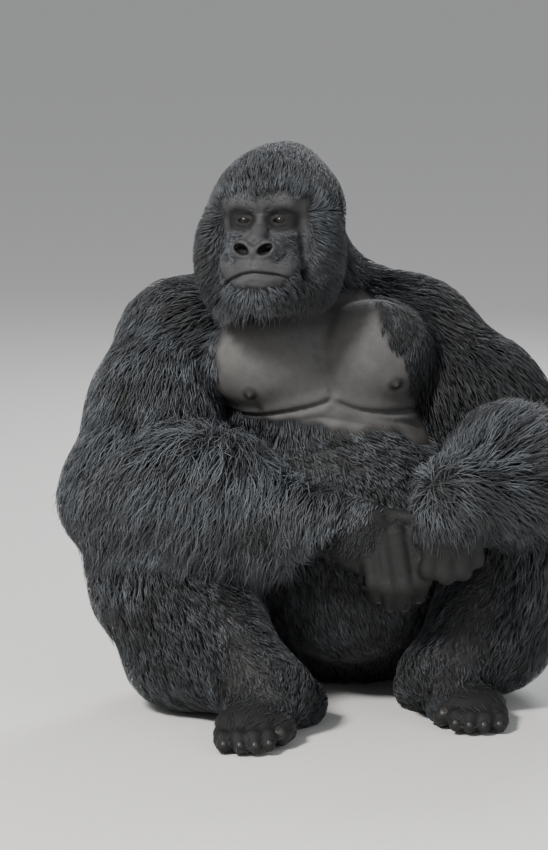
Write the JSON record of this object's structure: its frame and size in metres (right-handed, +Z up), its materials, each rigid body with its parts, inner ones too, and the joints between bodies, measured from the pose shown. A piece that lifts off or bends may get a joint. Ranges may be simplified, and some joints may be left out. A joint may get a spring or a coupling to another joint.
{
  "type": "seated gorilla figure",
  "caption": "Adult male mountain gorilla, a still life-size figure seated on the floor with its forearms folded over its belly and its face turned aside.",
  "frame": {"origin": "on the floor, at the centre of the flat under the rump", "axes": "the animal faces -Y, its left side is +X, +Z is up"},
  "size_m": [1.034, 0.862, 1.0243],
  "materials": {
    "coat": "long black hair grizzled with grey, dull",
    "chest_skin": "bare grey-brown skin, satin",
    "face_skin": "bare black skin, slightly glossy",
    "paw_skin": "bare dark skin, dull",
    "eye": "dark brown, wet",
    "nail": "dark horn, smooth"
  },
  "bodies": {
    "root": {"eye_right": "eye", "eye_left": "eye", "face": "face_skin", "ear_right": "face_skin", "ear_left": "face_skin", "head": "coat", "thumb_right": "paw_skin", "index_right": "paw_skin", "middle_right": "paw_skin", "ring_right": "paw_skin", "little_right": "paw_skin", "forearm_right": "coat", "hand_right": "paw_skin", "upper_arm_right": "coat", "thumb_left": "paw_skin", "index_left": "paw_skin", "middle_left": "paw_skin", "ring_left": "paw_skin", "little_left": "paw_skin", "forearm_left": "coat", "hand_left": "paw_skin", "upper_arm_left": "coat", "hallux_right": "paw_skin", "toe_2_right": "paw_skin", "toe_3_right": "paw_skin", "toe_4_right": "paw_skin", "toe_5_right": "paw_skin", "shin_right": "coat", "foot_right": "paw_skin", "thigh_right": "coat", "hallux_left": "paw_skin", "toe_2_left": "paw_skin", "toe_3_left": "paw_skin", "toe_4_left": "paw_skin", "toe_5_left": "paw_skin", "shin_left": "coat", "foot_left": "paw_skin", "thigh_left": "coat", "neck": "coat", "chest": "chest_skin", "belly": "chest_skin"}
  },
  "joints": []
}
